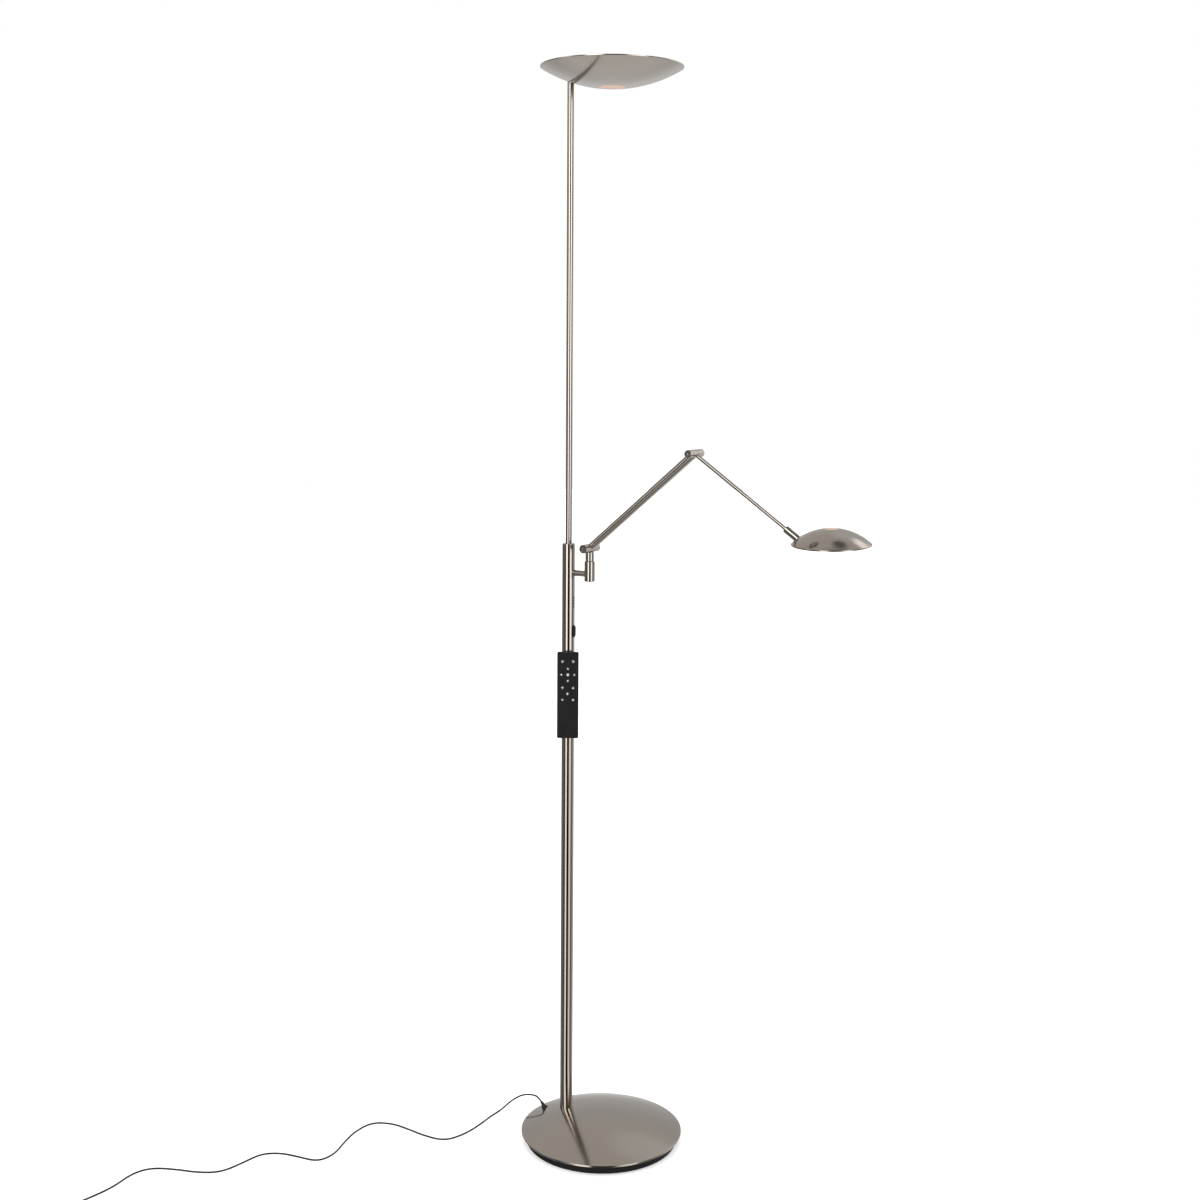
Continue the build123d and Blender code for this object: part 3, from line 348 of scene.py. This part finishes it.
def turned_metal(name, color, origin, axis, rough, stretch, fleck, relief):
    """Satin metal with the fine rings that turning and brushing leave round an axis."""
    surface = Surface(name, color, sum(rough) / 2, metallic=1.0)
    axis = Vector(axis).normalized()
    from_origin = surface.vector_math("SUBTRACT", surface.place, origin)
    along = surface.vector_math("DOT_PRODUCT", from_origin, axis)
    off_axis = surface.vector_math("SUBTRACT", from_origin, surface.times(axis, along))
    rings = surface.node("ShaderNodeCombineXYZ")
    surface.feed(rings.inputs["X"], along)
    surface.feed(rings.inputs["Y"], surface.vector_math("LENGTH", off_axis))
    lines = surface.vector_math("ADD", rings.outputs["Vector"], surface.times(surface.place, RING_DRIFT))
    fine = surface.noise(lines, FINE_RINGS, detail=1)
    wide = surface.noise(lines, WIDE_RINGS, detail=3)
    grain = surface.blend(fine, wide, 0.5)
    cloud = surface.noise(surface.place, METAL_CLOUDS, detail=2)
    surface.roughen(surface.blend(grain, cloud, CLOUD_SHARE), *rough)
    surface.tint(grain, scaled(color, 1 - fleck), scaled(color, 1 + fleck))
    surface.bump(grain, relief, RING_DEPTH)
    surface.put("Anisotropic", stretch)
    surface.put("Anisotropic Rotation", ACROSS_GRAIN)
    round_axis = surface.vector_math("CROSS_PRODUCT", axis, off_axis)
    surface.put("Tangent", surface.vector_math("NORMALIZE", round_axis))
    return surface.material


def plain_metal(name, color, rough, scale=900):
    """Plated or cast metal with a fine mottled surface."""
    surface = Surface(name, color, sum(rough) / 2, metallic=1.0)
    mottle = surface.noise(surface.place, scale, detail=4)
    surface.roughen(mottle, *rough)
    surface.tint(surface.noise(surface.place, scale / 6), scaled(color, 0.88), scaled(color, 1.1))
    surface.bump(mottle, MOTTLE_RELIEF, MOTTLE_DEPTH)
    return surface.material


def moulded(name, color, rough, grain_size, depth, specular=0.5, coat=0.0):
    """Moulded plastic or rubber with a fine spark-eroded grain, whose size and depth are in millimetres."""
    surface = Surface(name, color, sum(rough) / 2)
    cloud = surface.noise(surface.place, PLASTIC_CLOUDS, detail=3)
    surface.roughen(cloud, *rough)
    surface.tint(cloud, scaled(color, 0.85), scaled(color, 1.18))
    grain = surface.noise(surface.place, 1 / (grain_size * MM), detail=2)
    surface.bump(grain, PLASTIC_RELIEF, depth * MM)
    surface.put("Specular IOR Level", specular)
    surface.put("Coat Weight", coat)
    return surface.material


def frosted(name, color, glow, strength):
    """Frosted opal plastic, with the light that comes through it from behind."""
    surface = Surface(name, color, 0.65)
    frost = surface.noise(surface.place, FROST_GRAIN, detail=2)
    surface.roughen(frost, 0.62, 0.7)
    surface.tint(surface.noise(surface.place, FROST_CLOUDS), scaled(color, 0.98), color)
    surface.bump(frost, FROST_RELIEF, FROST_DEPTH)
    surface.shine(glow, strength)
    return surface.material


def middle(node):
    """The centre of a CAD node's box."""
    low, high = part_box(node)
    return (low + high) / 2


def paint(node, material):
    """Gives a CAD node one material."""
    mesh = frame["nodes"][node].data
    mesh.materials.clear()
    mesh.materials.append(material)


def on_floor(place):
    return Vector((place.x, place.y, 0))


def of_joint(name, key):
    """A joint's place, "pos_m", or its direction, "axis"."""
    return Vector(next(joint[key] for joint in frame["joints"] if joint["name"] == name))


UP = Vector((0, 0, 1))
LOWER_HINGE = of_joint("lower_hinge", "pos_m")
UPPER_HINGE = of_joint("upper_hinge", "pos_m")
ARM_AXIS = UPPER_HINGE - LOWER_HINGE
ROD_AXIS = of_joint("head_roll", "axis")
PIN_AXIS = Vector((0, 1, 0))
# the head hangs almost level
HEAD_AXIS = Vector((0.005, -0.056, 1))
BASE = Vector((0, 0, 0))
POLE = on_floor(middle("lower_pole"))
SWIVEL = on_floor(LOWER_HINGE)
DISH = middle("dish_shell")
HEAD = middle("head_shell")


def paint_metals():
    """Each turned or brushed piece has its grain round its own axis, given by a point and a direction."""
    domes = {
        "base_cover": (BASE, UP),
        "dish_shell": (DISH, UP),
        "head_shell": (HEAD, HEAD_AXIS),
    }
    tubes = {
        "lower_pole": (POLE, UP),
        "upper_pole": (POLE, UP),
        "pole_cap": (POLE, UP),
        "arm_bracket": (SWIVEL, UP),
        "swivel_stem": (SWIVEL, UP),
        "lower_barrel": (LOWER_HINGE, PIN_AXIS),
        "upper_barrel": (UPPER_HINGE, PIN_AXIS),
        "arm_tube": (LOWER_HINGE, ARM_AXIS),
        "arm_rod": (UPPER_HINGE, ROD_AXIS),
        "head_sleeve": (UPPER_HINGE, ROD_AXIS),
    }
    for pieces, look in ((domes, DOME_LOOK), (tubes, TUBE_LOOK)):
        for node, (origin, axis) in pieces.items():
            paint(node, turned_metal(f"nickel_{node}", NICKEL, origin, axis, **look))


def paint_others():
    """Plated, cast and moulded pieces, and the cord."""
    zinc = plain_metal("zinc_plate", (0.55, 0.55, 0.57), (0.25, 0.4))
    bright = plain_metal("turned_steel", (0.55, 0.53, 0.5), (0.15, 0.26))
    iron = plain_metal("cast_weight", (0.12, 0.12, 0.12), (0.55, 0.75), scale=500)
    sink = plain_metal("die_cast", (0.7, 0.7, 0.71), (0.35, 0.5))
    black = moulded("black_plastic", (0.008, 0.008, 0.008), (0.5, 0.62), 0.4, 0.05, specular=0.1)
    adapter = moulded("adapter_plastic", (0.02, 0.02, 0.022), (0.5, 0.62), 0.6, 0.08)
    lens = moulded("black_lens", (0.01, 0.01, 0.012), (0.06, 0.12), 0.9, 0.01, coat=0.4)
    foam = moulded("foam_pad", (0.03, 0.03, 0.03), (0.85, 0.95), 1.2, 0.3, specular=0.2)
    board = moulded("solder_mask", (0.72, 0.74, 0.72), (0.3, 0.4), 0.8, 0.02)
    keys = moulded("button_rubber", (0.016, 0.016, 0.017), (0.55, 0.68), 0.5, 0.04, specular=0.25)
    jacket = moulded("cord_jacket", (0.01, 0.009, 0.009), (0.34, 0.44), 0.7, 0.03, specular=0.3)
    opal = frosted("opal_diffuser", (0.86, 0.84, 0.8), (1.0, 0.9, 0.78), 0.25)
    warm = frosted("warm_window", (0.44, 0.31, 0.25), (1.0, 0.56, 0.38), 0.09)
    named = {
        zinc: "pole_foot foot_nut swivel_screw sleeve_screw dish_stud coin_cell remote_magnets",
        bright: "lower_axle upper_axle adapter_pins",
        iron: "base_weight",
        sink: "dish_heat_sink head_heat_sink",
        black: "base_tray rocker switch_body remote_front remote_back battery_drawer",
        adapter: "adapter_body",
        lens: "indicator_lenses",
        foam: "base_pad",
        board: "control_board dish_led_board head_led_board remote_board",
        keys: " ".join(node for node in frame["nodes"] if node.startswith("button_")),
        jacket: "cord_run cord_coil cord_tail cord_relief cord_tie",
        opal: "dish_diffuser head_diffuser",
        warm: "dish_glow_disc head_glow_disc",
    }
    for material, nodes in named.items():
        for node in nodes.split():
            paint(node, material)
    cord.data.materials.append(jacket)


paint_metals()
paint_others()

# ---- symbols on the remote's buttons ----------------------------------------------------------------------

# the buttons face the way that the remote pulls off
BUTTON_OUT = of_joint("remote_pull", "axis")
BUTTON_ACROSS = UP.cross(BUTTON_OUT)
INK_THICK = 0.06 * MM
INK_SINK = 0.02 * MM
FACE_DEPTH = 0.01 * MM
SYMBOL_SCALE = 1.15 * MM
# outlines in the symbols' own units, which SYMBOL_SCALE takes to metres
STROKE = 0.42
RAY_STROKE = 0.34
CRESCENT_STROKE = 0.75
ARC_STEP = 15


def top_centre(node, direction):
    """The middle of a CAD node's outermost face in a direction."""
    corners = [vertex.co for vertex in frame["nodes"][node].data.vertices]
    reach = max(corner.dot(direction) for corner in corners)
    face = [corner for corner in corners if corner.dot(direction) > reach - FACE_DEPTH]
    low = Vector(min(corner[i] for corner in face) for i in range(3))
    high = Vector(max(corner[i] for corner in face) for i in range(3))
    return (low + high) / 2


def disc(radius, centre=(0, 0), corners=24):
    """A filled round outline; three corners make an arrow that points up."""
    angles = [pi / 2 + 2 * pi * i / corners for i in range(corners)]
    return [(centre[0] + radius * cos(a), centre[1] + radius * sin(a)) for a in angles]


def bar(x0, y0, x1, y1, width=STROKE):
    """A straight stroke between two points."""
    run = Vector((x1 - x0, y1 - y0)).normalized() * width / 2
    x, y = -run.y, run.x
    return [(x0 - x, y0 - y), (x1 - x, y1 - y), (x1 + x, y1 + y), (x0 + x, y0 + y)]


def arc(radius, first=0, last=360, width=STROKE, centre=(0, 0)):
    """A round stroke, as a chain of four-cornered pieces, from one angle to another in degrees."""
    steps = round((last - first) / ARC_STEP)
    inner, outer = radius - width / 2, radius + width / 2
    pieces = []
    for i in range(steps):
        a, b = (radians(between(first, last, k / steps)) for k in (i, i + 1))
        ends = ((inner, a), (outer, a), (outer, b), (inner, b))
        pieces.append([(centre[0] + r * cos(t), centre[1] + r * sin(t)) for r, t in ends])
    return pieces


def turned_outline(outline, degrees):
    """An outline turned anticlockwise about the centre."""
    c, s = cos(radians(degrees)), sin(radians(degrees))
    return [(x * c - y * s, x * s + y * c) for x, y in outline]


def rays(inner, outer, count):
    """Strokes that point outwards, evenly spaced round the centre."""
    angles = [2 * pi * i / count for i in range(count)]
    return [bar(inner * cos(a), inner * sin(a), outer * cos(a), outer * sin(a), RAY_STROKE) for a in angles]


ARROW = disc(1.5, corners=3)
SYMBOLS = {
    "button_power": [*arc(1.4, 125, 415), bar(0, 0.3, 0, 1.75)],
    "button_timer": [*arc(1.5), bar(0, 0, 0, 1.0), bar(0, 0, 0.8, 0)],
    "button_up": [ARROW],
    "button_down": [turned_outline(ARROW, 180)],
    "button_left": [turned_outline(ARROW, 90)],
    "button_right": [turned_outline(ARROW, -90)],
    "button_centre": [*arc(1.7), disc(0.9)],
    "button_dish": [bar(-1.5, 1.1, 1.5, 1.1), *arc(1.3, 190, 350, centre=(0, 1.1)), bar(0, -0.2, 0, -1.7)],
    "button_head": [bar(-1.5, -1.1, 1.5, -1.1), *arc(1.3, 10, 170, centre=(0, -1.1)), bar(0, 0.2, 0, 1.7)],
    "button_night": arc(1.3, 50, 310, width=CRESCENT_STROKE),
    "button_cool": rays(0, 1.6, 6),
    "button_warm": [disc(0.8), *rays(1.1, 1.7, 8)],
}


def finished_mesh(name, form, material):
    """A mesh of one material from a form, which is then let go."""
    mesh = bpy.data.meshes.new(name)
    form.to_mesh(mesh)
    form.free()
    mesh.materials.append(material)
    return mesh


def make_symbol(node, outlines, ink):
    """A thin printed symbol on a button's face, which moves with that button."""
    centre = top_centre(node, BUTTON_OUT)
    form = bmesh.new()
    for outline in outlines:
        rings = []
        for height in (-INK_SINK, INK_THICK - INK_SINK):
            base = centre + BUTTON_OUT * height
            places = [base + (BUTTON_ACROSS * x + UP * y) * SYMBOL_SCALE for x, y in outline]
            rings.append([form.verts.new(place) for place in places])
        low, high = rings
        form.faces.new(high)
        form.faces.new(list(reversed(low)))
        for i in range(len(outline)):
            j = (i + 1) % len(outline)
            form.faces.new((low[i], low[j], high[j], high[i]))
    bmesh.ops.recalc_face_normals(form, faces=form.faces)
    symbol = add_object(f"symbol_{node}", finished_mesh(f"symbol_{node}", form, ink))
    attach(symbol, node)


def make_symbols():
    ink = moulded("printed_ink", (0.62, 0.62, 0.62), (0.5, 0.6), 0.3, 0.01)
    for node, outlines in SYMBOLS.items():
        make_symbol(node, outlines, ink)


make_symbols()

# ---- floor and light --------------------------------------------------------------------------------------

WHITE = (1, 1, 1)
FLOOR_RADIUS = 14
FLOOR_CORNERS = 96
FLOOR_GLOW = 0.3

SUN_TOWARDS = Vector((-0.25, 0.35, -1))
SUN_STRENGTH = 2.6
SUN_SPREAD = radians(100)

FLAG_CENTRE = Vector((0.535, 0.18, 2.06))
FLAG_RADIUS = 0.27
FLAG_EDGE = 0.17
FLAG_CORNERS = 48


def add_sheet(name, places, material):
    """A flat sheet through some places."""
    form = bmesh.new()
    form.faces.new([form.verts.new(place) for place in places])
    return add_object(name, finished_mesh(name, form, material))


def make_floor():
    """A plain pale floor under the lamp."""
    paint_coat = Surface("floor_paint", (0.9, 0.9, 0.9), 0.75)
    cloud = paint_coat.noise(paint_coat.place, 3, detail=2)
    paint_coat.tint(cloud, (0.89, 0.89, 0.89), (0.91, 0.91, 0.91))
    paint_coat.roughen(cloud, 0.72, 0.8)
    paint_coat.shine(WHITE, FLOOR_GLOW)
    places = [(x, y, 0) for x, y in disc(FLOOR_RADIUS, corners=FLOOR_CORNERS)]
    floor = add_sheet("floor", places, paint_coat.material)
    floor.visible_glossy = False


def make_flag():
    """A black flag with a thin edge, which shows only as a dark patch in the metal of the reading head."""
    cloth = Surface("flag_cloth", (0.1, 0.1, 0.1), 0.9)
    weave = cloth.noise(cloth.place, 700, detail=2)
    cloth.tint(weave, (0.08, 0.08, 0.08), (0.12, 0.12, 0.12))
    cloth.roughen(weave, 0.85, 0.95)
    off_centre = cloth.vector_math("LENGTH", cloth.vector_math("SUBTRACT", cloth.place, FLAG_CENTRE))
    to_edge = cloth.math("SUBTRACT", FLAG_RADIUS, off_centre)
    cloth.put("Alpha", cloth.math("MINIMUM", cloth.math("DIVIDE", to_edge, FLAG_EDGE), 1))
    side = (HEAD - FLAG_CENTRE).orthogonal().normalized()
    across = (HEAD - FLAG_CENTRE).cross(side).normalized()
    places = [FLAG_CENTRE + side * x + across * y for x, y in disc(FLAG_RADIUS, corners=FLAG_CORNERS)]
    flag = add_sheet("flag", places, cloth.material)
    flag.visible_camera = False
    flag.visible_diffuse = False
    flag.visible_shadow = False


def make_sun():
    """A very large soft light for the floor and the dull surfaces, which metal doesn't mirror."""
    data = bpy.data.lights.new("soft_overhead", "SUN")
    data.energy = SUN_STRENGTH
    data.angle = SUN_SPREAD
    light = add_object("soft_overhead", data)
    light.rotation_mode = "QUATERNION"
    light.rotation_quaternion = SUN_TOWARDS.to_track_quat("-Z", "Y")
    light.visible_glossy = False


# what the metal sees round the horizon, just below it and just above it: degrees from the camera's
# direction towards the right of the picture, and brightness as a share of the gain
SURROUND_LOW = [
    (-180, 0.21), (-150, 0.15), (-128, 0.08), (-96, 0.07), (-58, 0.02), (-44, 0.02), (-36, 0.48), (-19, 0.48),
    (-13, 0.0), (16, 0.0), (27, 0.24), (35, 0.36), (48, 0.36), (57, 0.06), (84, 0.06), (100, 0.14),
    (118, 0.25), (135, 0.2), (152, 0.18), (180, 0.21),
]
SURROUND_HIGH = [
    (-180, 0.15), (-150, 0.15), (-128, 0.07), (-96, 0.03), (-60, 0.03), (-46, 0.08), (-39, 1.0), (-19, 1.0),
    (-12, 0.0), (20, 0.0), (29, 0.65), (36, 0.95), (52, 0.92), (62, 0.08), (98, 0.08), (114, 0.3),
    (134, 0.33), (152, 0.15), (180, 0.15),
]
SURROUND_GAIN = 4.0
CEILING_BEHIND = (0.66, 0.64, 0.615)
CEILING_FRONT = (0.2, 0.195, 0.19)
GROUND_BEHIND = (0.87, 0.87, 0.87)
GROUND_FRONT = (0.25, 0.245, 0.24)
# heights between which one band of the studio goes over into the next, from -1 for down to 1 for up
GROUND_TO_LOW = (-0.8, -0.5)
LOW_TO_HIGH = (-0.3, 0.05)
HIGH_TO_CEILING = (0.4, 0.62)
# how far towards the camera's side the ground and the ceiling go over from behind to front
BEHIND_TO_FRONT = (-0.05, 0.25)
# patches of the studio: degrees round, as above, and up to the middle, degrees to the edge, and brightness
PATCHES = [
    (133, 40, 9, 1.7),
    (157, 49, 9, 0.76),
    (-78, 13, 10, 1.7),
    (-36, 35, 11, 4.0),
    (-48, -37, 9, 0.6),
]
PATCH_EDGE = 6


class Studio(Nodes):
    """The world round the lamp, which depends on the direction that is looked in."""

    def __init__(self):
        self.world = bpy.data.worlds.new("studio")
        self.world.use_nodes = True
        super().__init__(self.world.node_tree)
        self.tree.nodes.clear()
        turn = self.node("ShaderNodeVectorRotate", rotation_type="Z_AXIS")
        self.feed(turn.inputs["Vector"], self.node("ShaderNodeTexCoord").outputs["Generated"])
        self.feed(turn.inputs["Angle"], -CAMERA_HEADING)
        self.looking = turn.outputs["Vector"]
        parts = self.node("ShaderNodeSeparateXYZ")
        self.feed(parts.inputs["Vector"], self.looking)
        self.right = parts.outputs["X"]
        self.front = self.math("MULTIPLY", parts.outputs["Y"], -1)
        self.height = parts.outputs["Z"]

    def step(self, value, low, high):
        """Rises smoothly from 0 to 1 as a value goes from low to high."""
        return self.remap(value, low, high, interpolation="SMOOTHSTEP")

    def mix(self, share, first, second):
        """A mix of two colours, where either is a colour or a node's output."""
        made = self.node("ShaderNodeMix", data_type="RGBA")
        self.feed(made.inputs["Factor"], share)
        colors = [socket for socket in made.inputs if socket.type == "RGBA"]
        for socket, source in zip(colors, (first, second)):
            self.feed(socket, source if isinstance(source, bpy.types.NodeSocket) else (*source, 1))
        return next(socket for socket in made.outputs if socket.type == "RGBA")

    def bands(self, share, levels):
        """Brightness round the horizon, as a colour ramp from behind, round the front, to behind."""
        ramp = self.node("ShaderNodeValToRGB")
        stops = ramp.color_ramp.elements
        for degrees, _ in levels[1:-1]:
            stops.new((degrees + 180) / 360)
        for stop, (_, level) in zip(stops, levels):
            stop.color = (level, level, level, 1)
        self.feed(ramp.inputs["Fac"], share)
        return ramp.outputs["Color"]

    def patch(self, base, around, up, wide, level):
        """A round soft-edged patch over the studio, lighter or darker than what is round it."""
        side, rise = radians(around), radians(up)
        towards = Vector((sin(side) * cos(rise), -cos(side) * cos(rise), sin(rise)))
        nearness = self.vector_math("DOT_PRODUCT", self.looking, towards)
        outer, inner = cos(radians(wide + PATCH_EDGE)), cos(radians(wide - PATCH_EDGE))
        return self.mix(self.step(nearness, outer, inner), base, (level, level, level))

    def look(self):
        """What the metal sees: the ground, the soft boxes and dark flags round it, and the ceiling."""
        share = self.remap(self.math("ARCTAN2", self.right, self.front), -pi, pi)
        low = self.bands(share, SURROUND_LOW)
        high = self.bands(share, SURROUND_HIGH)
        horizon = self.times(self.mix(self.step(self.height, *LOW_TO_HIGH), low, high), SURROUND_GAIN)
        front = self.step(self.front, *BEHIND_TO_FRONT)
        ground = self.mix(front, GROUND_BEHIND, GROUND_FRONT)
        ceiling = self.mix(front, CEILING_BEHIND, CEILING_FRONT)
        look = self.mix(self.step(self.height, *GROUND_TO_LOW), ground, horizon)
        look = self.mix(self.step(self.height, *HIGH_TO_CEILING), look, ceiling)
        for place in PATCHES:
            look = self.patch(look, *place)
        return look


def make_world():
    """The studio that the lamp mirrors, with plain white behind the lamp in the picture."""
    studio = Studio()
    around = studio.node("ShaderNodeBackground")
    studio.feed(around.inputs["Color"], studio.look())
    behind = studio.node("ShaderNodeBackground")
    studio.feed(behind.inputs["Color"], (*WHITE, 1))
    choose = studio.node("ShaderNodeMixShader")
    sources = (
        studio.node("ShaderNodeLightPath").outputs["Is Camera Ray"],
        around.outputs["Background"],
        behind.outputs["Background"],
    )
    for socket, source in zip(choose.inputs, sources):
        studio.feed(socket, source)
    studio.feed(studio.node("ShaderNodeOutputWorld").inputs["Surface"], choose.outputs["Shader"])
    bpy.context.scene.world = studio.world


make_floor()
make_flag()
make_world()
make_sun()
bpy.context.scene.view_settings.view_transform = "Standard"
